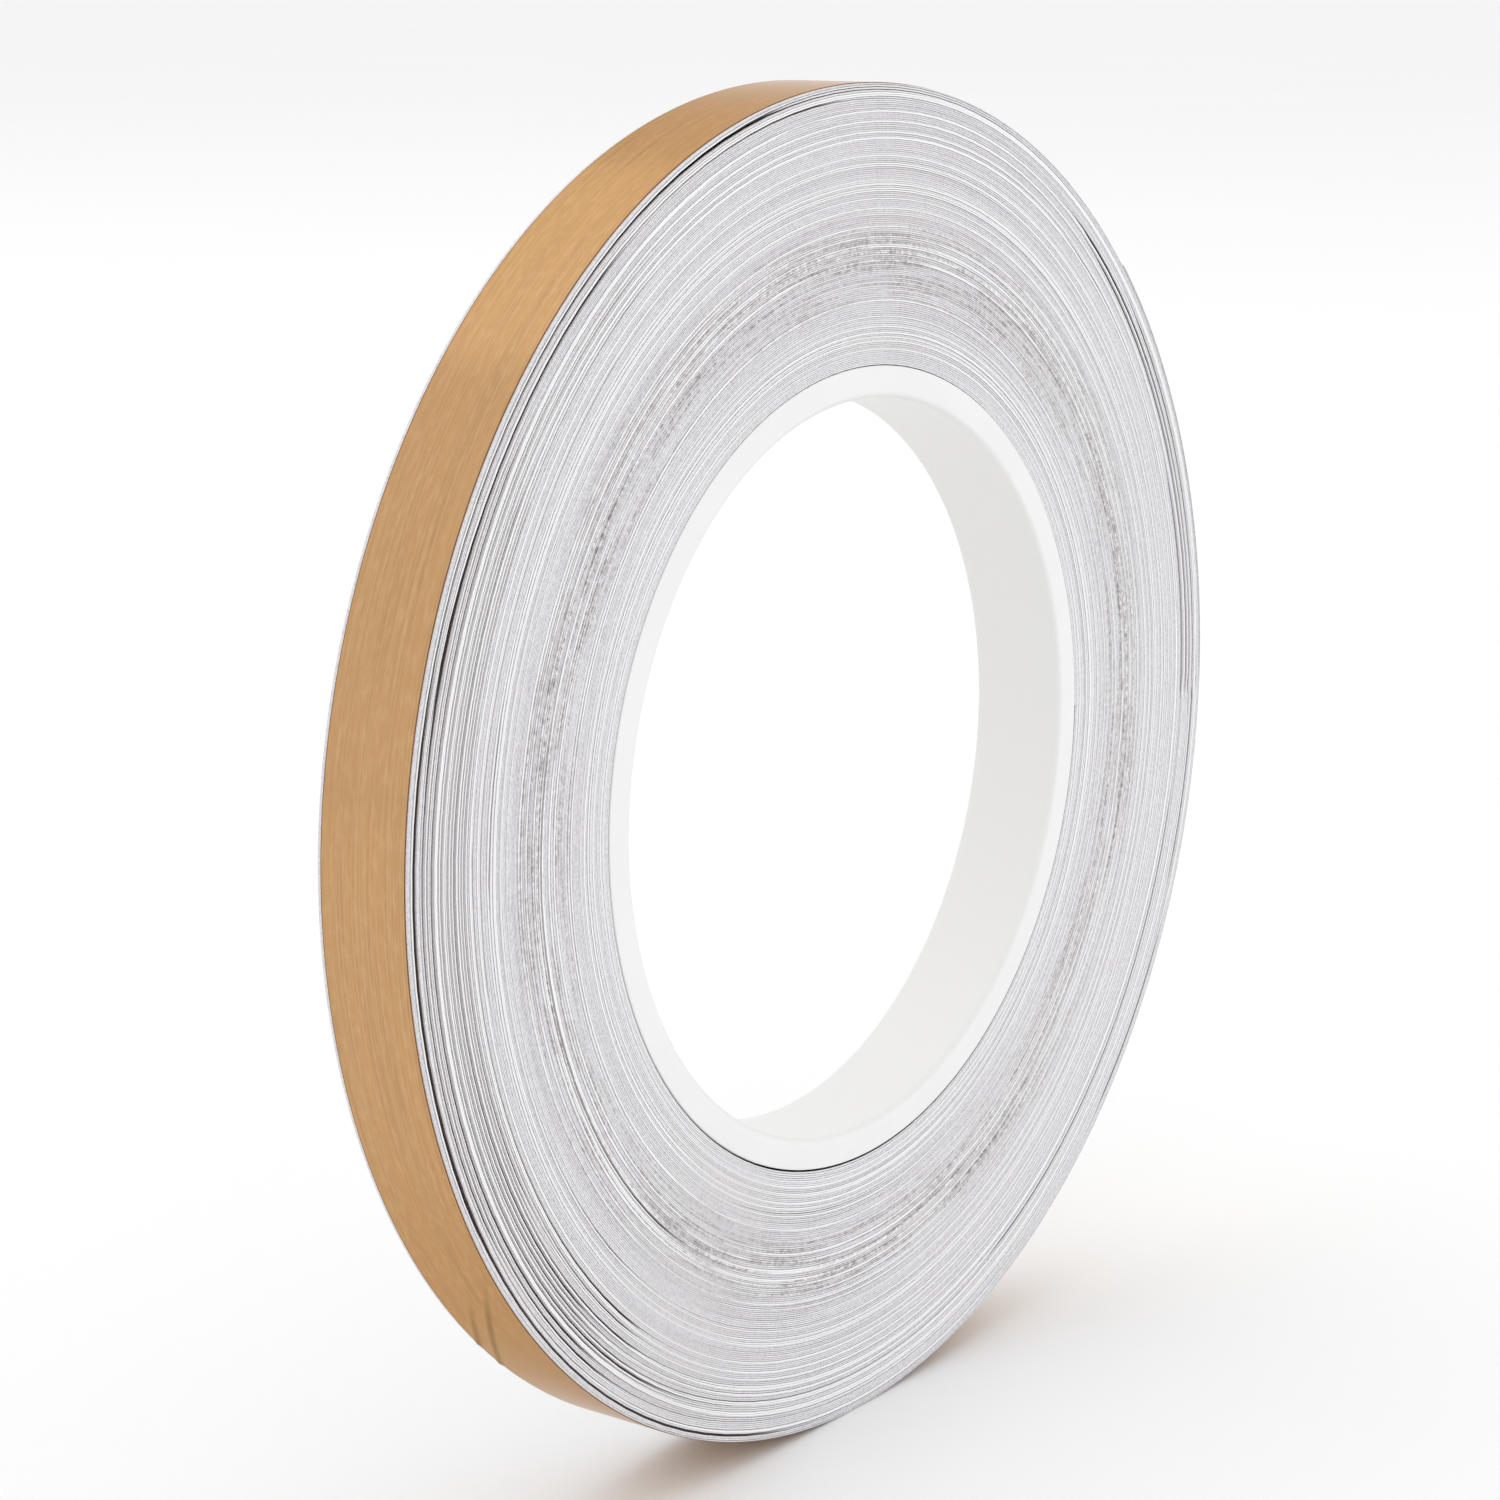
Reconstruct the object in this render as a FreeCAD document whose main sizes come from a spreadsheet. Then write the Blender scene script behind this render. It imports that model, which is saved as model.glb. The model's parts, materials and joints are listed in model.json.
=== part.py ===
"""Copper foil tape roll: a plastic core, a start tab, the wound turns, and the outer end of the tape.

The tape is three strips laid on each other: release liner inside, adhesive, copper foil outside. It winds
outwards as half turns. Lower halves are centred on the core's axis. Upper halves are centred half a turn's
thickness to the left, so that each half turn runs into the next with no kink. The free end lies against the
roll on the upper right. Millimetres. The core's axis is Y, Z is up, and the origin is the middle of the bore.
"""
import FreeCAD, Part
import math
import os

import Sketcher

SIZES = (
    ("bore_diameter", 76.2),
    ("core_wall", 3.3),
    ("core_width", 11.0),
    ("bore_edge_round", 0.8),
    ("rim_edge_round", 0.25),
    ("tab_thickness", 0.08),
    ("tab_width", 8.0),
    ("tab_angle", 25.0),
    ("roll_diameter", 139.0),
    ("liner_width", 10.8),
    ("foil_width", 10.0),
    ("liner_thickness", 0.115),
    ("adhesive_thickness", 0.035),
    ("foil_thickness", 0.05),
    ("tail_gap", 0.05),
    ("tail_angle", 9.0),
    ("release_gap", 0.01),
)
TAIL_PIECES = 5
SPLIT_PIECES = 2  # the tail's last pieces, whose liner comes away from the adhesive

# expressions on the sheet
TURN = "(sheet.liner_thickness + sheet.adhesive_thickness + sheet.foil_thickness)"
HALF = f"({TURN} / 2)"
CORE_RADIUS = "(sheet.bore_diameter / 2 + sheet.core_wall)"
PACK_RADIUS = f"(sheet.roll_diameter / 2 - 2 * {TURN} + {HALF})"
TAIL_RADIUS = f"({PACK_RADIUS} + {TURN} + sheet.tail_gap)"

# how far each strip's two faces lie outside the inside of its turn, and its width
LINER_TOP = "sheet.liner_thickness"
ADHESIVE_TOP = f"({LINER_TOP} + sheet.adhesive_thickness)"
STRIPS = {
    "liner": ("0", LINER_TOP, "sheet.liner_width"),
    "adhesive": (LINER_TOP, ADHESIVE_TOP, "sheet.foil_width"),
    "foil": (ADHESIVE_TOP, TURN, "sheet.foil_width"),
}

START, END, CENTRE = 1, 2, 3  # the points of a sketch arc or line
X_AXIS = -1
ORIGIN = (-1, 1)

doc = FreeCAD.newDocument("copper_foil_tape_roll")
sheet = doc.addObject("Spreadsheet::Sheet", "sheet")
for row, (alias, size) in enumerate(SIZES, start=1):
    sheet.set(f"A{row}", alias)
    sheet.set(f"B{row}", str(size))
    sheet.setAlias(f"B{row}", alias)
doc.recompute()


def value(expression):
    """The number that an expression on the sheet gives."""
    return float(sheet.evalExpression(expression))


class Outline:
    """A body with a sketch on its XZ plane, whose constraints follow the sheet."""

    def __init__(self, name):
        self.body = doc.addObject("PartDesign::Body", name)
        self.body.Label = name
        self.sketch = self.body.newObject("Sketcher::SketchObject", f"{name}_outline")
        planes = [f for f in self.body.Origin.OriginFeatures if f.Role == "XZ_Plane"]
        self.sketch.AttachmentSupport = (planes[0], [""])
        self.sketch.MapMode = "FlatFace"

    def rule(self, *kind):
        return self.sketch.addConstraint(Sketcher.Constraint(*kind))

    def bind(self, expression, *kind):
        """A dimension that an expression drives. Its number comes last in the constraint."""
        self.sketch.setExpression(f"Constraints[{self.rule(*kind)}]", expression)

    def centre(self, curve, offset):
        """Put a curve's centre on the core's axis, or offset to its left."""
        if offset is None:
            self.rule("Coincident", curve, CENTRE, *ORIGIN)
        else:
            self.rule("PointOnObject", curve, CENTRE, X_AXIS)
            self.bind(offset, "DistanceX", curve, CENTRE, *ORIGIN, value(offset))

    def radius(self, curve, expression):
        self.bind(expression, "Radius", curve, value(expression))

    def circle(self, expression):
        round_ = Part.Circle(FreeCAD.Vector(), FreeCAD.Vector(0, 0, 1), value(expression))
        curve = self.sketch.addGeometry(round_)
        self.centre(curve, None)
        self.radius(curve, expression)

    def arc(self, offset, radius, first, last):
        """An arc about a centre on the X axis. The angles, in degrees, only say where it is drawn at first."""
        middle = FreeCAD.Vector(-value(offset) if offset else 0, 0, 0)
        round_ = Part.Circle(middle, FreeCAD.Vector(0, 0, 1), radius)
        curve = self.sketch.addGeometry(
            Part.ArcOfCircle(round_, math.radians(first), math.radians(last))
        )
        self.centre(curve, offset)
        return curve

    def line(self, one, other):
        """A line between two ends of curves."""
        ends = [self.sketch.getPoint(*end) for end in (one, other)]
        curve = self.sketch.addGeometry(Part.LineSegment(*ends))
        self.rule("Coincident", curve, START, *one)
        self.rule("Coincident", curve, END, *other)
        return curve

    def turn(self, expression):
        """One turn from the right: an upper half of that radius, and the lower half that it runs into."""
        upper = self.arc(HALF, value(expression), 0, 180)
        self.radius(upper, expression)
        self.rule("PointOnObject", upper, START, X_AXIS)
        self.rule("PointOnObject", upper, END, X_AXIS)
        lower = self.arc(None, value(expression) + value(HALF), 180, 360)
        self.rule("Coincident", lower, START, upper, END)
        self.rule("PointOnObject", lower, END, X_AXIS)
        return upper, lower

    def band(self, offset, radii, angles):
        """The outline between two radii and two angles, all four as expressions, about one centre."""
        first, last = (value(angle) for angle in angles)
        inner, outer = (self.arc(offset, value(radius), first, last) for radius in radii)
        for curve, radius in zip((inner, outer), radii):
            self.radius(curve, radius)
        for end, angle in zip((START, END), angles):
            edge = self.line((inner, end), (outer, end))
            self.rule("PointOnObject", inner, CENTRE, edge)
            self.bind(f"{angle} * 1 deg", "Angle", edge, math.radians(value(angle)))

    def pad(self, width):
        """Give the outline its width, half on each side of the XZ plane."""
        pad = self.body.newObject("PartDesign::Pad", f"{self.body.Name}_pad")
        pad.Profile = self.sketch
        pad.SideType = "Symmetric"
        pad.setExpression("Length", width)
        return pad


def round_edges(outline, pad, name, radius, size):
    """Round the circular edges of one radius."""
    doc.recompute()
    rims = [
        f"Edge{n}"
        for n, edge in enumerate(pad.Shape.Edges, start=1)
        if edge.Closed and math.isclose(edge.Curve.Radius, value(radius), abs_tol=1e-6)
    ]
    rounding = outline.body.newObject("PartDesign::Fillet", f"{outline.body.Name}_{name}")
    rounding.Base = (pad, rims)
    rounding.setExpression("Radius", size)
    return rounding


def make_core():
    """The plastic tube that the tape is wound on, with its bore's edges well rounded."""
    core = Outline("core")
    core.circle("sheet.bore_diameter / 2")
    core.circle(CORE_RADIUS)
    tube = core.pad("sheet.core_width")
    lips = round_edges(core, tube, "lips", "sheet.bore_diameter / 2", "sheet.bore_edge_round")
    round_edges(core, lips, "rims", CORE_RADIUS, "sheet.rim_edge_round")
    return core.body


def make_start_tab():
    """The short piece of double-sided tape that holds the first turn to the core."""
    tab = Outline("start_tab")
    tab.band(None, (CORE_RADIUS, f"{CORE_RADIUS} + sheet.tab_thickness"), ("0", "sheet.tab_angle"))
    tab.pad("sheet.tab_width")
    return tab.body


def make_wound_turns():
    """The inner turns as one solid. Its step, on the right, is where the last whole turn starts."""
    wound = Outline("wound_turns")
    wound.circle(f"{CORE_RADIUS} + sheet.tab_thickness")
    upper, lower = wound.turn(PACK_RADIUS)
    wound.line((lower, END), (upper, START))
    wound.pad("sheet.liner_width")
    return wound.body


def make_wrap(strip):
    """One strip of the last whole turn, from the wound turns' step to where the tail starts."""
    low, high, width = STRIPS[strip]
    wrap = Outline(f"{strip}_wrap")
    inner = wrap.turn(f"{PACK_RADIUS} + {low}")
    outer = wrap.turn(f"{PACK_RADIUS} + {high}")
    wrap.line((inner[0], START), (outer[0], START))
    wrap.line((inner[1], END), (outer[1], END))
    wrap.pad(width)
    return wrap.body


def make_tail(strip, number):
    """One strip of one piece of the tail, which lies on the last turn and can be lifted off it."""
    low, high, width = STRIPS[strip]
    if strip == "liner" and number > TAIL_PIECES - SPLIT_PIECES:
        high = f"({high} - sheet.release_gap)"
    tail = Outline(f"{strip}_tail_{number}")
    radii = (f"{TAIL_RADIUS} + {low}", f"{TAIL_RADIUS} + {high}")
    angles = tuple(f"({n} * sheet.tail_angle)" for n in (number - 1, number))
    tail.band(HALF, radii, angles)
    tail.pad(width)
    return tail.body


pieces = [make_core(), make_start_tab(), make_wound_turns()]
pieces += [make_wrap(strip) for strip in STRIPS]
pieces += [make_tail(strip, number) for strip in STRIPS for number in range(1, TAIL_PIECES + 1)]

doc.recompute()
for thing in doc.Objects:
    if {"Invalid", "Error"} & set(thing.State):
        raise RuntimeError(f"{thing.Name} failed: {thing.State}")
for piece in pieces:
    if piece.Shape.isNull() or not piece.Shape.isValid() or len(piece.Shape.Solids) != 1:
        raise RuntimeError(f"{piece.Label} isn't one valid solid")

os.makedirs("parts", exist_ok=True)
for piece in pieces:
    piece.Shape.exportStep(f"parts/{piece.Label}.step")
    print(f"{piece.Label}: {piece.Shape.Volume:.3f} mm3")
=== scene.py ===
"""Copper foil tape roll: its looks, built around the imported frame.

The tape is wound as it really is: a liner ribbon and a foil ribbon run round the core in one long spiral,
with turns that stand proud, sit back or lie loose, as on a roll wound by machine. The last turn and the
free end are finer ribbons of their own in three layers: liner, adhesive and foil. Angles start at +X and
grow towards +Z, and lengths are in metres.
"""
import json
import math

import bpy
import numpy as np
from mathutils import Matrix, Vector


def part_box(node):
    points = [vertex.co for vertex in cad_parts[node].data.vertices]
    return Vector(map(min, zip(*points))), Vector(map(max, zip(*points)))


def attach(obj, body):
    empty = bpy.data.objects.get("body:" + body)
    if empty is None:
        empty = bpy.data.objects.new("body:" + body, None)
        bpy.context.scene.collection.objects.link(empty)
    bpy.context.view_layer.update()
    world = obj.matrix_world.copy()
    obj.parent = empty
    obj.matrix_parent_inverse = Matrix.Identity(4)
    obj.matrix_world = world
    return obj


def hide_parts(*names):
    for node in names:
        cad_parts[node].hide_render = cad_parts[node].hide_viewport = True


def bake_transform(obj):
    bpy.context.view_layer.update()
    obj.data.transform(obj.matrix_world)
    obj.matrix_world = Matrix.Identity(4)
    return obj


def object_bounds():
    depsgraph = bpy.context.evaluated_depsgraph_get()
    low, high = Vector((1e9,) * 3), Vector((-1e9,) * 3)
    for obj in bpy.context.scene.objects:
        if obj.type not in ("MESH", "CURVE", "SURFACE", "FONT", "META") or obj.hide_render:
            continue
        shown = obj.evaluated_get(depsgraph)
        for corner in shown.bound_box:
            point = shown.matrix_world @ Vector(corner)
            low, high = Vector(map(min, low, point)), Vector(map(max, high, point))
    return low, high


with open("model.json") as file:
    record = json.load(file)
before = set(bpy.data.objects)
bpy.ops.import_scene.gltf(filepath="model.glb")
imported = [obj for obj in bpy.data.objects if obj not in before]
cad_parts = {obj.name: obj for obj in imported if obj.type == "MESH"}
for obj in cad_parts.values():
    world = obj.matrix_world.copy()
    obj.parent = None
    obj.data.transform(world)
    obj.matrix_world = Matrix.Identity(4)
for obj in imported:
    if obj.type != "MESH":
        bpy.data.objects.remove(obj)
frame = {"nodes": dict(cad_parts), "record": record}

CAD_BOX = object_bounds()
MM = 0.001
FULL_TURN = 2 * math.pi

# ---- sizes, from the frame ----
RECORD = frame["record"]
BORE = next(m for m in RECORD["mounts"] if m["name"] == "core_bore")["dims"]["r_mm"] * MM
CORE_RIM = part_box("core")[1].x
CORE_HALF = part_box("core")[1].y
LINER_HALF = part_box("wound_turns")[1].y
FOIL_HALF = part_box("foil_wrap")[1].y
WOUND_FOIL_HALF = LINER_HALF - 0.1 * MM  # the inner turns' foil reaches nearly to the liner's edge
LINER_THICK = 0.115 * MM
ADHESIVE_THICK = 0.035 * MM
FOIL_THICK = 0.05 * MM
TURN_THICK = LINER_THICK + ADHESIVE_THICK + FOIL_THICK
TAB_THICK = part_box("start_tab")[1].x - CORE_RIM
TAB_END = math.asin(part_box("start_tab")[1].z / (CORE_RIM + TAB_THICK))
WOUND_OUT = -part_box("wound_turns")[0].z
TAIL_LIFT = 0.05 * MM  # how far the free end stands off the last turn
TAIL_JOINTS = 5
TAIL_STEP = math.radians(9)
SPLIT_AT = 4  # the tail's joint where liner and foil part
CUT_SLANT = math.radians(0.5)

# ---- how finely, and how unevenly, it is wound ----
TURNS = 139
SEGMENTS = 118
SEED = 11
FINE_STEP = math.radians(0.25)
rng = np.random.default_rng(SEED)


# ---- small helpers ----
def smooth(value):
    """0 below 0, 1 above 1, and a smooth rise between."""
    value = np.clip(value, 0, 1)
    return value * value * (3 - 2 * value)


def window(angle, centre, half, edge):
    """1 within half of centre and 0 beyond half + edge, all angles in radians, round the circle."""
    away = np.abs((angle - centre + math.pi) % FULL_TURN - math.pi)
    return 1 - smooth((away - half) / edge)


def wander(angle, waves, size):
    """A smooth periodic curve of random waves, of about that size."""
    orders = np.arange(1, waves + 1)
    sizes = rng.normal(0, 1, waves) / orders ** 0.7
    phases = rng.uniform(0, FULL_TURN, waves)
    curve = (sizes[:, None] * np.cos(orders[:, None] * angle[None, :] + phases[:, None])).sum(0)
    return size * curve / 1.5


def rise(angle):
    """How far a turn has risen to the next one: all of it in the upper half, as the CAD turns do."""
    turn = angle / FULL_TURN
    return np.where(turn < 0.5, (1 - np.cos(FULL_TURN * turn)) / 2, 1.0)


def polar(radius, angle, across):
    return np.stack([radius * np.cos(angle), across, radius * np.sin(angle)], axis=-1)


def loft(name, loops, strip):
    """A closed mesh skinned over cross-sections.

    Each loop runs along the outside, then back along the inside. strip holds each point's place on the flat
    tape in mm, along and across it, and a third value: the turn it is on in the winding, or how much painted
    shade it takes beside a crease of the last turn.
    """
    stations, points, _ = loops.shape
    first = np.arange(stations - 1)[:, None] * points
    here = np.arange(points)[None, :]
    after = (here + 1) % points
    sides = np.stack([first + here, first + after, first + points + after, first + points + here], axis=-1)
    caps = []
    for start, flip in ((0, True), ((stations - 1) * points, False)):
        for i in range(points // 2 - 1):
            quad = [start + i, start + i + 1, start + points - 2 - i, start + points - 1 - i]
            caps.append(quad[::-1] if flip else quad)
    mesh = bpy.data.meshes.new(name)
    mesh.from_pydata(loops.reshape(-1, 3).tolist(), [], sides.reshape(-1, 4).tolist() + caps)
    place = mesh.attributes.new("strip", "FLOAT_VECTOR", "POINT")
    place.data.foreach_set("vector", strip.astype(np.float32).ravel())
    mesh.polygons.foreach_set("use_smooth", [True] * len(mesh.polygons))
    mesh.set_sharp_from_angle(angle=math.radians(35))
    mesh.update()
    piece = bpy.data.objects.new(name, mesh)
    bpy.context.scene.collection.objects.link(piece)
    return piece


# ---- colours ----
COPPER_DARK = (0.475, 0.275, 0.125)
COPPER_LIGHT = (0.60, 0.365, 0.175)
COPPER_BROAD = (0.59, 0.345, 0.16)
COPPER_PALE = (0.67, 0.43, 0.225)
# painted shade beside the last turn's creases
COPPER_CREASE_SHADE = (0.22, 0.12, 0.06)
# the foil's edge: partly its own darker tone, partly painted shade of the step at the edge
COPPER_EDGE_AND_SHADE = (0.22, 0.085, 0.04)
COPPER_GRAZING = (0.80, 0.68, 0.56, 1.0)
CUT_FOIL_DARK = (0.66, 0.63, 0.63)
CUT_FOIL_LIGHT = (0.82, 0.79, 0.79)
# painted shade deep in the gaps between turns
GAP_SHADE_BROWN = (0.05, 0.028, 0.025)
WOUND_LIGHT = (0.925, 0.915, 0.93)
WOUND_DARK = (0.735, 0.725, 0.75)
BAND_GREY = (0.62, 0.61, 0.64)
BAND_WHITE = (0.93, 0.925, 0.93)
# painted highlight on paper that stands proud
PROUD_HIGHLIGHT = (0.97, 0.965, 0.975)
SMUDGE = (0.35, 0.315, 0.31)
LINER_LIGHT = (0.80, 0.79, 0.80)
LINER_DARK = (0.60, 0.59, 0.61)
GLUE_DARK = (0.30, 0.17, 0.09)
GLUE_LIGHT = (0.44, 0.27, 0.15)
CORE_DARK = (0.885, 0.883, 0.888)
CORE_LIGHT = (0.90, 0.898, 0.90)
# painted shade on the core's bore wall
CORE_BORE_SHADE = (0.79, 0.785, 0.775)
TAB_DARK = (0.62, 0.60, 0.52)
TAB_LIGHT = (0.76, 0.74, 0.66)
FLOOR_DARK = (0.90, 0.90, 0.90)
FLOOR_LIGHT = (0.92, 0.92, 0.92)


# ---- materials ----
class Shader:
    """A material with a Principled surface, and short ways to add nodes to it."""

    def __init__(self, name, **surface):
        self.material = bpy.data.materials.new(name)
        self.material.use_nodes = True
        self.tree = self.material.node_tree
        self.surface = self.tree.nodes["Principled BSDF"]
        for socket, value in surface.items():
            self.surface.inputs[socket.replace("_", " ")].default_value = value

    def node(self, kind, inputs, **settings):
        made = self.tree.nodes.new(f"ShaderNode{kind}")
        for name, value in settings.items():
            setattr(made, name, value)
        for name, value in inputs.items():
            self.feed(made.inputs[name], value)
        return made

    def feed(self, socket, value):
        """Links a socket to another, or sets its value."""
        if isinstance(value, bpy.types.NodeSocket):
            self.tree.links.new(value, socket)
        else:
            socket.default_value = value

    def strip(self):
        """The point's place on the flat tape, which loft() stores."""
        return self.node("Attribute", {}, attribute_name="strip").outputs["Vector"]

    def place(self):
        """Where the point is, in mm, in the object's own frame."""
        where = self.node("TexCoord", {}).outputs["Object"]
        return self.stretch(where, (1 / MM,) * 3)

    def stretch(self, vector, scale):
        return self.node("Mapping", {"Vector": vector, "Scale": scale}).outputs[0]

    def noise(self, vector, scale, detail=2.0, roughness=0.5):
        inputs = {"Vector": vector, "Scale": scale, "Detail": detail, "Roughness": roughness}
        return self.node("TexNoise", inputs).outputs[0]

    def remap(self, value, low, high, to_low=0.0, to_high=1.0):
        """value from low..high to to_low..to_high, smoothly and held at the ends."""
        inputs = {"Value": value, "From Min": low, "From Max": high, "To Min": to_low, "To Max": to_high}
        return self.node("MapRange", inputs, interpolation_type="SMOOTHSTEP").outputs[0]

    def math(self, operation, a, b=0.0):
        return self.node("Math", {0: a, 1: b}, operation=operation).outputs[0]

    def axis(self, vector, name):
        return self.node("SeparateXYZ", {"Vector": vector}).outputs[name]

    def mix(self, share, low, high):
        """A colour between two, which are colours or sockets."""
        mixer = self.node("Mix", {0: share}, data_type="RGBA")
        for socket, colour in ((mixer.inputs[6], low), (mixer.inputs[7], high)):
            self.feed(socket, colour if isinstance(colour, bpy.types.NodeSocket) else (*colour, 1.0))
        return mixer.outputs[2]

    def bump(self, height, distance, below=None):
        inputs = {"Height": height, "Strength": 1.0, "Distance": distance}
        if below is not None:
            inputs["Normal"] = below
        return self.node("Bump", inputs).outputs[0]

    def set(self, **sockets):
        for name, value in sockets.items():
            self.feed(self.surface.inputs[name.replace("_", " ")], value)
        return self.material


def copper():
    """Rolled copper foil: satin, streaked along its length, slightly dimpled, its edges darker in tone and
    in painted shade, and painted shade by its creases.
    """
    shader = Shader(
        "copper_foil",
        Metallic=1.0,
        Anisotropic=0.5,
        Anisotropic_Rotation=0.25,
        Specular_Tint=COPPER_GRAZING,
    )
    strip = shader.strip()
    edge = FOIL_HALF / MM
    streaks = shader.noise(shader.stretch(strip, (0.04, 4.2, 0.0)), 1.0, 4.0, 0.65)
    broad = shader.noise(shader.stretch(strip, (0.02, 0.45, 0.0)), 1.0, 1.0)
    mottle = shader.noise(shader.stretch(strip, (0.55, 1.5, 0.0)), 1.0, 3.0)
    across = shader.math("ABSOLUTE", shader.axis(strip, "Y"))
    # darker foil edges: partly the cut edge's own tone, partly painted shade of the step at the edge
    rim = shader.remap(across, edge - 0.14, edge - 0.03)
    # painted shade: the foil is painted darker in a stripe beside each crease's ridge
    crease_shade = shader.math("MULTIPLY", shader.axis(strip, "Z"), 0.72)
    tone = shader.mix(shader.remap(streaks, 0.3, 0.7), COPPER_DARK, COPPER_LIGHT)
    tone = shader.mix(shader.remap(broad, 0.35, 0.7, 0.0, 0.5), tone, COPPER_BROAD)
    tone = shader.mix(shader.remap(mottle, 0.45, 0.7, 0.0, 0.35), tone, COPPER_PALE)
    tone = shader.mix(crease_shade, tone, COPPER_CREASE_SHADE)
    tone = shader.mix(rim, tone, COPPER_EDGE_AND_SHADE)
    relief = shader.bump(streaks, 0.0015 * MM)
    relief = shader.bump(mottle, 0.004 * MM, relief)
    around = shader.node("Tangent", {}, direction_type="RADIAL", axis="Y").outputs[0]
    gloss = shader.remap(streaks, 0.2, 0.8, 0.15, 0.21)
    return shader.set(Base_Color=tone, Roughness=gloss, Normal=relief, Tangent=around)


def foil_edges():
    """The wound foil: cut edges pale with paper dust, and faces painted dark brown as shade in the gaps
    between turns.
    """
    shader = Shader("foil_edges", Roughness=0.5, Specular_IOR_Level=0.4)
    strip = shader.strip()
    grain = shader.noise(shader.place(), 6.0, 3.0, 0.7)
    across = shader.math("ABSOLUTE", shader.axis(strip, "Y"))
    edge = WOUND_FOIL_HALF / MM
    # painted shade: away from the cut edge the foil's faces turn dark brown, as deep in a gap
    cut = shader.remap(across, edge - 0.2, edge - 0.04)
    tone = shader.mix(shader.remap(grain, 0.3, 0.7), CUT_FOIL_DARK, CUT_FOIL_LIGHT)
    tone = shader.mix(cut, GAP_SHADE_BROWN, tone)
    return shader.set(Base_Color=tone, Normal=shader.bump(grain, 0.01 * MM))


def paper(name, light, dark, wound):
    """White release paper, seen mostly at its cut edges."""
    shader = Shader(name, Roughness=0.62, Specular_IOR_Level=0.35)
    strip, place = shader.strip(), shader.place()
    grain = shader.noise(place, 3.6, 4.0, 0.85)
    hatch = shader.noise(shader.stretch(strip, (3.2, 1.2, 1.7)), 1.0, 2.0, 0.6)
    tone = shader.mix(shader.remap(grain, 0.36, 0.62), dark, light)
    tone = shader.mix(shader.remap(hatch, 0.5, 0.75, 0.0, 0.4), tone, dark)
    if wound:
        tone = wound_tone(shader, tone, strip, place)
    return shader.set(Base_Color=tone, Normal=shader.bump(grain, 0.01 * MM))


def wound_tone(shader, tone, strip, place):
    """The paper's tone on the wound turns: banded, smudged in rings, with a painted highlight where it
    stands proud and painted shade in the gaps.
    """
    bands = shader.noise(shader.stretch(strip, (0.004, 0.0, 0.42)), 1.0, 3.0, 0.7)
    tone = shader.mix(shader.remap(bands, 0.5, 0.7, 0.0, 0.5), tone, BAND_GREY)
    tone = shader.mix(shader.remap(bands, 0.48, 0.3, 0.0, 0.7), tone, BAND_WHITE)
    turn = shader.axis(strip, "Z")
    ring = shader.math("MULTIPLY", shader.remap(turn, 18, 46), shader.remap(turn, 56, 86, 1.0, 0.0))
    patches = shader.noise(shader.stretch(strip, (0.045, 0.0, 0.17)), 1.0, 3.0, 0.65)
    speckle = shader.remap(shader.noise(place, 1.5, 4.0, 0.75), 0.34, 0.66)
    dirt = shader.math("MULTIPLY", ring, shader.remap(patches, 0.44, 0.63))
    dirt = shader.math("MULTIPLY", dirt, speckle)
    across = shader.math("ABSOLUTE", shader.axis(place, "Y"))
    edge = LINER_HALF / MM
    # painted highlight: paper that stands proud of the flat side is painted whiter
    proud = shader.remap(across, edge + 0.02, edge + 0.08)
    # painted shade: paper that lies back from the flat side turns dark brown, as in the gaps
    gap = shader.remap(across, edge - 0.08, edge - 0.17)
    tone = shader.mix(proud, tone, PROUD_HIGHLIGHT)
    tone = shader.mix(dirt, tone, SMUDGE)
    return shader.mix(gap, tone, GAP_SHADE_BROWN)


def adhesive():
    """A clear tacky film over copper, seen at the tape's edges and where the liner comes away."""
    shader = Shader("adhesive_film")
    strip = shader.strip()
    waves = shader.noise(shader.stretch(strip, (0.25, 1.1, 0.0)), 1.0, 3.0, 0.6)
    tone = shader.mix(shader.remap(waves, 0.3, 0.7), GLUE_DARK, GLUE_LIGHT)
    gloss = shader.remap(waves, 0.3, 0.7, 0.18, 0.38)
    return shader.set(Base_Color=tone, Roughness=gloss, Normal=shader.bump(waves, 0.015 * MM))


def core_plastic():
    """White moulded plastic, semi-gloss, with the faint flow marks and grain of the mould, and painted shade
    on the bore's wall.
    """
    shader = Shader("core_plastic", IOR=1.49)
    place = shader.place()
    grain = shader.noise(place, 3.0, 3.0, 0.6)
    flow = shader.noise(shader.stretch(place, (0.12, 0.5, 0.12)), 1.0, 2.0)
    tone = shader.mix(shader.remap(flow, 0.3, 0.7), CORE_DARK, CORE_LIGHT)
    flat = shader.node("VectorMath", {0: place, 1: (1.0, 0.0, 1.0)}, operation="MULTIPLY").outputs[0]
    radius = shader.node("VectorMath", {0: flat}, operation="LENGTH").outputs["Value"]
    # painted shade: the bore's wall, inside the rounded lip, is painted a darker grey
    bore = shader.remap(radius, (BORE / MM) + 0.7, (BORE / MM) + 0.1)
    tone = shader.mix(bore, tone, CORE_BORE_SHADE)
    gloss = shader.remap(grain, 0.3, 0.7, 0.30, 0.40)
    return shader.set(Base_Color=tone, Roughness=gloss, Normal=shader.bump(grain, 0.004 * MM))


def tab_tape():
    """Double-sided tape: pale, with the crepe of its tissue carrier."""
    shader = Shader("tab_tape", Roughness=0.55)
    place = shader.place()
    crepe = shader.noise(shader.stretch(place, (1.0, 3.0, 1.0)), 1.5, 3.0, 0.6)
    tone = shader.mix(shader.remap(crepe, 0.3, 0.7), TAB_DARK, TAB_LIGHT)
    return shader.set(Base_Color=tone, Normal=shader.bump(crepe, 0.01 * MM))


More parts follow.
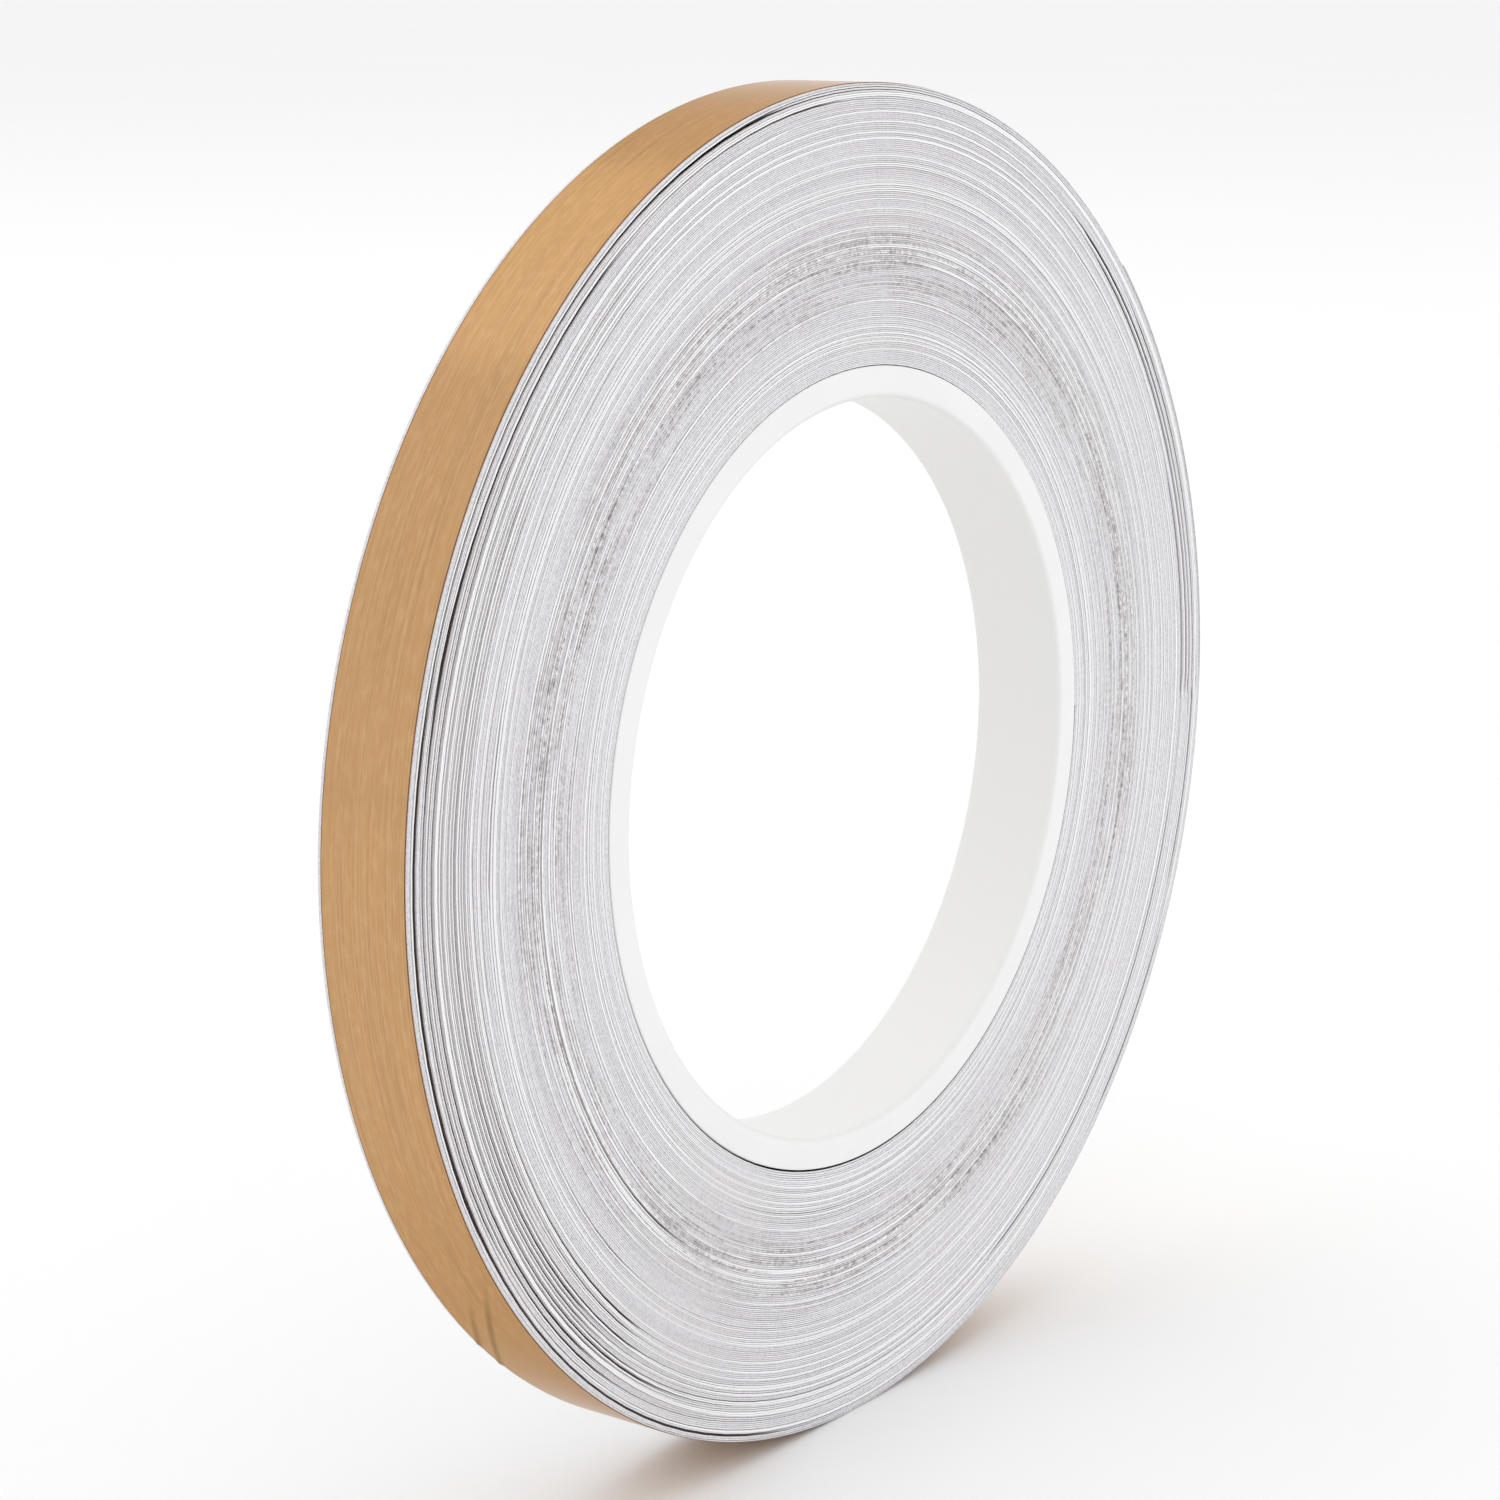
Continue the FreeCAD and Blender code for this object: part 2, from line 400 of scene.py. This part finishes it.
def floor_white():
    """A matt white floor, very slightly uneven in tone."""
    shader = Shader("floor_white", Roughness=0.9, Specular_IOR_Level=0.1)
    mottle = shader.noise(shader.node("TexCoord", {}).outputs["Object"], 3.0)
    return shader.set(Base_Color=shader.mix(mottle, FLOOR_DARK, FLOOR_LIGHT))


# ---- the winding ----
# loose turns: how deep below the rim (mm), how wide a gap (mm), middle and half span (degrees)
LOOSE_TURNS = (
    (0.4, 0.2, 155, 40), (0.6, 0.05, 210, 40), (1.8, 0.09, 190, 34), (2.4, 0.08, 186, 34),
    (3.0, 0.05, 178, 44), (3.4, 0.045, 190, 40), (3.8, 0.07, 184, 46), (4.2, 0.05, 176, 42),
    (4.6, 0.10, 188, 34), (5.8, 0.06, 168, 36), (9.6, 0.15, 173, 5), (2.6, 0.06, 99, 3),
    (1.2, 0.07, 130, 30), (6.6, 0.06, 200, 26), (7.4, 0.08, 205, 22), (8.4, 0.05, 160, 24),
    (11.4, 0.05, 190, 30), (14.6, 0.05, 155, 30), (17.2, 0.05, 200, 26), (1.4, 0.08, 8, 24),
    (2.2, 0.12, 24, 22), (2.8, 0.07, 16, 26), (3.8, 0.06, 352, 22), (1.0, 0.09, 192, 30),
    (1.4, 0.1, 168, 34), (5.0, 0.09, 186, 30), (5.4, 0.08, 198, 30), (6.2, 0.1, 180, 26),
    (0.8, 0.07, 340, 20), (5.0, 0.05, 30, 18), (1.0, 0.08, 312, 18), (4.2, 0.05, 320, 22),
)
LOOSE_RECESS = 0.12  # mm that a loose turn sits back, more than its gap's width
BESIDE_LOOSE = 0.1  # mm that the turn outside a loose one stands proud
SMALL_GAPS = 110
SMALL_GAP_WIDTH = (0.005, 0.03)  # mm
SMALL_GAP_HALF = (10, 50)  # degrees
TAB_FADE = math.radians(6)
SWELL_EVERY = 9  # turns from one swelling of the winding to the next
SWELL_REACH = 6.5  # turns
SWELL_SIZE = 0.06 * MM
EDGE_JITTER = 0.02 * MM
JITTER_EVERY = 0.7  # turns
PROUD_EVERY = 3.5  # turns
CURL = (0.0, 0.04)  # mm that the liner's lips lift
CURL_EVERY = 2.7  # turns
LIP = 0.3 * MM


def loose_row(depth):
    """The number of the turn that lies that deep, in mm."""
    return TURNS - round(depth * MM / TURN_THICK)


def levels(angle):
    """The radius where each turn starts, TURNS + 2 rows, and the gap outside each turn, TURNS rows."""
    gaps = np.zeros((TURNS, len(angle)))
    for depth, width, middle, half in LOOSE_TURNS:
        half = math.radians(half)
        gaps[loose_row(depth)] += width * MM * window(angle, math.radians(middle), half, half)
    for _ in range(SMALL_GAPS):
        row = TURNS - 2 - int((TURNS - 4) * rng.uniform(0, 1) ** 1.5)
        middle, half = rng.uniform(0, FULL_TURN), math.radians(rng.uniform(*SMALL_GAP_HALF))
        gaps[row] += rng.uniform(*SMALL_GAP_WIDTH) * MM * window(angle, middle, half, half)
    on_tab = window(angle, TAB_END / 2, TAB_END / 2, TAB_FADE)
    start = CORE_RIM + TAB_THICK * (0.1 + 0.9 * on_tab)
    pitch = (WOUND_OUT - TURN_THICK - start - gaps.sum(0)) / TURNS
    radii = start + np.vstack([np.zeros(len(angle)), np.cumsum(gaps + pitch[None, :], axis=0)])
    turn = np.arange(TURNS + 1)
    fade = smooth((TURNS - turn) / 12) * smooth(turn / 6)
    for centre in np.arange(6, TURNS - 4, SWELL_EVERY):
        swell = fade * np.exp(-(((turn - centre) / SWELL_REACH) ** 2))
        radii += swell[:, None] * wander(angle, 7, SWELL_SIZE)[None, :]
    return np.vstack([radii, radii[-1] + TURN_THICK]), gaps


def side_steps(total):
    """How far each edge of the strip stands out from the flat side, and how much it flares, front and back.

    Stretches stand proud at random on both sides. The loose turns sit back on the front, and those just
    outside them stand proud.
    """
    knots = np.arange(0, TURNS + 3, JITTER_EVERY)
    out = [np.interp(total, knots, rng.normal(0, EDGE_JITTER, len(knots))) for _ in range(2)]
    flare = [np.zeros(len(total)) for _ in range(2)]
    for side in range(2):
        turn = 1.5
        while turn < TURNS - 2:
            length = rng.uniform(0.45, 1.7)
            ease = rng.uniform(0.05, 0.25)
            here = smooth((total - turn) / ease) * smooth((turn + length - total) / ease)
            height = (0.05 + 0.21 * rng.uniform() ** 1.2) * (0.25 + 0.75 * turn / TURNS)
            out[side] += height * MM * here
            flare[side] += rng.uniform(0.0, 0.04) * MM * here
            turn += PROUD_EVERY * rng.uniform(0.35, 1.6)
    angle = (total % 1) * FULL_TURN
    loose = {loose_row(depth) for depth, _, _, _ in LOOSE_TURNS}
    for depth, width, middle, half in LOOSE_TURNS:
        row = loose_row(depth)
        half = math.radians(half)
        reach = window(angle, math.radians(middle), half, half / 2)
        on_it = (total >= row) & (total < row + 1)
        outside_it = (total >= row + 1) & (total < row + 2)
        out[0] -= on_it * (LOOSE_RECESS + width) * MM * reach
        if row + 1 not in loose:
            out[0] += outside_it * BESIDE_LOOSE * MM * reach
    return out, flare


def wind():
    """The liner and foil ribbons of the inner turns."""
    station = np.arange(TURNS * SEGMENTS + 1)
    total = station / SEGMENTS
    row = np.minimum(station // SEGMENTS, TURNS - 1)
    column = station - row * SEGMENTS
    angle = np.arange(SEGMENTS + 1) * FULL_TURN / SEGMENTS
    radii, gaps = levels(angle)
    out, flare = side_steps(total)
    knots = np.arange(0, TURNS + 3, CURL_EVERY)
    curl = np.interp(total, knots, rng.uniform(*CURL, len(knots))) * MM

    up = rise(angle)[column]
    inside = radii[row, column] * (1 - up) + radii[row + 1, column] * up
    thick = (radii[row + 1, column] - radii[row, column] - gaps[row, column]) * 0.96
    theta = angle[column]
    liner_top = inside + thick * LINER_THICK / TURN_THICK
    foil_low = liner_top + 0.04 * thick
    foil_top = inside + thick
    along = np.cumsum(inside) * FULL_TURN / SEGMENTS / MM

    def section(radius, places):
        """Points side by side on one face of the ribbon, and their places on the flat strip."""
        points = [polar(radius + lift, theta, y) for y, lift in places]
        return points, [np.stack([along, y / MM, total], axis=-1) for y, _ in places]

    def ribbon(name, top, under):
        """The closed ribbon between two faces made by section()."""
        return loft(name, np.stack(top[0] + under[0], axis=1), np.stack(top[1] + under[1], axis=1))

    front, back = -LINER_HALF - out[0], LINER_HALF + out[1]
    lifts = [lift + curl for lift in flare]
    top = section(liner_top, [(front, lifts[0]), (front + LIP, 0), (back - LIP, 0), (back, lifts[1])])
    liner = ribbon("wound_liner", top, section(inside, [(back, 0), (front, 0)]))
    front, back = -WOUND_FOIL_HALF - np.minimum(out[0], 0), WOUND_FOIL_HALF + np.minimum(out[1], 0)
    top = section(foil_top, [(front, 0), (back, 0)])
    foil = ribbon("wound_foil", top, section(foil_low, [(back, 0), (front, 0)]))
    return liner, foil


# ---- the last turn and the free end ----
LAYERS = {
    "liner": (0.0, LINER_THICK, LINER_HALF),
    "adhesive": (LINER_THICK, LINER_THICK + ADHESIVE_THICK, FOIL_HALF),
    "foil": (LINER_THICK + ADHESIVE_THICK, TURN_THICK, FOIL_HALF),
}
# creases in the last turn: where each starts at the front edge and ends at the back edge (degrees), how
# high it stands (mm) and the share of the width at which it begins
CREASES = ((210, 229, 0.09, 0.05), (206, 225.5, 0.065, 0.4))
CREASE_WIDTH = 0.6 * MM
DIVISIONS = 27  # of a layer's width


def outer_inside(angle):
    """The inside radius of the last turn and of the tail after it, about the core's axis."""
    turn = angle / FULL_TURN
    base = WOUND_OUT - TURN_THICK + TURN_THICK * rise(np.clip(angle, 0, FULL_TURN))
    past = np.clip(angle - FULL_TURN, 0, None)
    tail = TURN_THICK * (1 - np.cos(past)) / 2
    lift = TAIL_LIFT * smooth((turn - 0.985) / 0.015)
    return base + tail + lift


def creases(angle, across):
    """How far the tape stands up in its creases, and how much painted shade it takes beside them, from 0 to
    1.
    """
    height, crease_shade = (np.zeros(np.broadcast(angle, across).shape) for _ in range(2))
    share = (across + LINER_HALF) / (2 * LINER_HALF)
    for front, back, size, begin in CREASES:
        middle = np.radians(front + (back - front) * share)
        away = (angle - middle) * WOUND_OUT / CREASE_WIDTH
        fade = smooth((share - begin) / 0.5)
        height += size * MM * fade * (np.exp(-(away ** 2)) - 0.4 * np.exp(-((away - 1.5) ** 2)))
        # painted shade in a stripe just beside the ridge
        crease_shade += fade * np.exp(-((away - 0.8) ** 2))
    return height, np.minimum(crease_shade, 1)


def outer_ribbon(name, layer, start, end, cut=0.0):
    """A stretch of one layer between two angles past the last turn's start. cut slants its end."""
    low, high, half = LAYERS[layer]
    count = max(4, round((end - start) / FINE_STEP))
    across = np.linspace(-half, half, DIVISIONS + 1)[None, :]
    share = np.linspace(0, 1, count + 1)[:, None]
    slant = cut * across / half * smooth((share - 0.4) / 0.6)
    angle = start + (end - start) * share + slant
    height, crease_shade = creases(angle, across)
    inside = outer_inside(angle) + height
    width = np.broadcast_to(across, angle.shape)
    top = polar(inside + high, angle, width)
    under = polar(inside + low, angle, width)
    flat = np.stack([angle * WOUND_OUT / MM, width / MM, crease_shade], axis=-1)
    loops = np.concatenate([top, under[:, ::-1]], axis=1)
    return loft(name, loops, np.concatenate([flat, flat[:, ::-1]], axis=1))


def make_layer(layer, finish):
    """One layer of the last turn and of the free end. The last turn is attached to the roll's body.

    The free end is made in pieces, one for each joint of the tail, and none is attached to a body of the
    tail.
    The first pieces end midway to the next joint; from the joint before the one where the layers part, each
    piece ends at the next joint.
    """
    half_step = TAIL_STEP / 2
    bodies = ["roll"] + [f"tail_{n}" for n in range(1, TAIL_JOINTS + 1)]
    if layer == "liner":
        bodies[SPLIT_AT:] = [f"liner_end_{n}" for n in range(SPLIT_AT, TAIL_JOINTS + 1)]
    turn = outer_ribbon(f"{layer}_last_turn", layer, 0.0, FULL_TURN - half_step)
    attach(turn, "roll")
    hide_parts(f"{layer}_wrap")
    made = [turn]
    begin = -half_step
    for number in range(1, TAIL_JOINTS + 1):
        hinge = (number - 1) * TAIL_STEP
        bend = (hinge - half_step, hinge + half_step)
        if number >= SPLIT_AT:
            bend = (hinge, hinge + TAIL_STEP)
        end = hinge + TAIL_STEP if number >= SPLIT_AT - 1 else bend[1]
        cut = CUT_SLANT if number == TAIL_JOINTS else 0.0
        name = f"{layer}_free_end_{number}"
        piece = outer_ribbon(name, layer, FULL_TURN + begin, FULL_TURN + end - 1.2 * cut, cut)
        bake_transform(piece)
        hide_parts(f"{layer}_tail_{number}")
        made.append(piece)
        begin = end
    for piece in made:
        piece.data.materials.append(finish)


# ---- the core ----
def make_core(finish):
    """The core as a turned ring, with rounded lips at the bore and small rounds at the rim."""
    lip, edge, steps = 0.8 * MM, 0.25 * MM, 8

    def corner(x, y, size, first):
        turn = np.radians(first) + np.linspace(0, math.pi / 2, steps + 1)
        return [(x + size * math.cos(a), y + size * math.sin(a)) for a in turn]

    outline = corner(BORE + lip, -CORE_HALF + lip, lip, 180)
    outline += corner(CORE_RIM - edge, -CORE_HALF + edge, edge, 270)
    outline += corner(CORE_RIM - edge, CORE_HALF - edge, edge, 0)
    outline += corner(BORE + lip, CORE_HALF - lip, lip, 90)
    outline = np.array(outline)
    count, size = 360, len(outline)
    angle = np.arange(count) * FULL_TURN / count
    across = np.broadcast_to(outline[None, :, 1], (count, size))
    points = polar(outline[None, :, 0], angle[:, None], across)
    ring = np.arange(count)[:, None] * size
    here = np.arange(size)[None, :]
    after = (here + 1) % size
    following = ((np.arange(count) + 1) % count)[:, None] * size
    faces = np.stack([ring + here, following + here, following + after, ring + after], axis=-1)
    mesh = bpy.data.meshes.new("core_tube")
    mesh.from_pydata(points.reshape(-1, 3).tolist(), [], faces.reshape(-1, 4).tolist())
    mesh.polygons.foreach_set("use_smooth", [True] * len(mesh.polygons))
    mesh.set_sharp_from_angle(angle=math.radians(50))
    mesh.materials.append(finish)
    core = bpy.data.objects.new("core_tube", mesh)
    bpy.context.scene.collection.objects.link(core)
    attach(core, "roll")
    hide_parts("core")


# ---- the stage ----
FLOOR_REACH = 30.0
LENS = 87.2
SENSOR = 36.0
VIEW = (-53.5, 12.36)  # azimuth and elevation, in degrees
AIM = Vector((-3.9, 6.0, 1.4)) * MM
DISTANCE = 375.2 * MM


def make_floor():
    """A floor under the roll, large enough to have no edge in view."""
    low = CAD_BOX[0].z
    mesh = bpy.data.meshes.new("floor")
    corners = [(x * FLOOR_REACH, y * FLOOR_REACH, low) for x, y in ((-1, -1), (1, -1), (1, 1), (-1, 1))]
    mesh.from_pydata(corners, [], [(0, 1, 2, 3)])
    mesh.materials.append(floor_white())
    floor = bpy.data.objects.new("floor", mesh)
    bpy.context.scene.collection.objects.link(floor)


def direction(azimuth, elevation):
    """From the object towards a viewer. Azimuth 0 looks along +Y."""
    a, e = math.radians(azimuth), math.radians(elevation)
    return Vector((math.sin(a) * math.cos(e), -math.cos(a) * math.cos(e), math.sin(e)))


def make_camera():
    data = bpy.data.cameras.new("camera")
    data.sensor_width = SENSOR
    data.lens = LENS
    data.clip_start, data.clip_end = 0.01, 100.0
    camera = bpy.data.objects.new("camera", data)
    back = direction(*VIEW)
    camera.location = AIM + back * DISTANCE
    camera.rotation_euler = (-back).to_track_quat("-Z", "Y").to_euler()
    bpy.context.scene.collection.objects.link(camera)
    bpy.context.scene.camera = camera


def panel(place, size, power):
    """A flat panel of soft light that faces down, with its size in metres and power in watts."""
    data = bpy.data.lights.new("panel", "AREA")
    data.shape = "RECTANGLE"
    data.size, data.size_y = size
    data.energy = power
    lamp = bpy.data.objects.new("panel", data)
    lamp.location = place
    lamp.visible_camera = False
    bpy.context.scene.collection.objects.link(lamp)
    return lamp


def make_light():
    """An even white room, a faint panel behind the roll that its gloss shows, and a soft one overhead."""
    world = bpy.data.worlds.new("studio")
    world.use_nodes = True
    background = world.node_tree.nodes["Background"]
    background.inputs["Color"].default_value = (1.0, 1.0, 1.0, 1.0)
    background.inputs["Strength"].default_value = 1.0
    bpy.context.scene.world = world
    panel(Vector((0.2, 1.5, 1.2)), (1.1, 2.6), 1.8)
    panel(Vector((0.0, 0.0, 2.2)), (2.6, 2.6), 6.5).visible_glossy = False
    bpy.context.scene.view_settings.view_transform = "Standard"


make_camera()
make_light()
make_floor()
make_core(core_plastic())
liner, foil = wind()
liner.data.materials.append(paper("wound_paper", WOUND_LIGHT, WOUND_DARK, True))
foil.data.materials.append(foil_edges())
for piece in (liner, foil):
    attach(piece, "roll")
    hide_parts("wound_turns")
make_layer("liner", paper("liner_paper", LINER_LIGHT, LINER_DARK, False))
make_layer("adhesive", adhesive())
make_layer("foil", copper())
tab_materials = frame["nodes"]["start_tab"].data.materials
tab_materials.clear()
tab_materials.append(tab_tape())
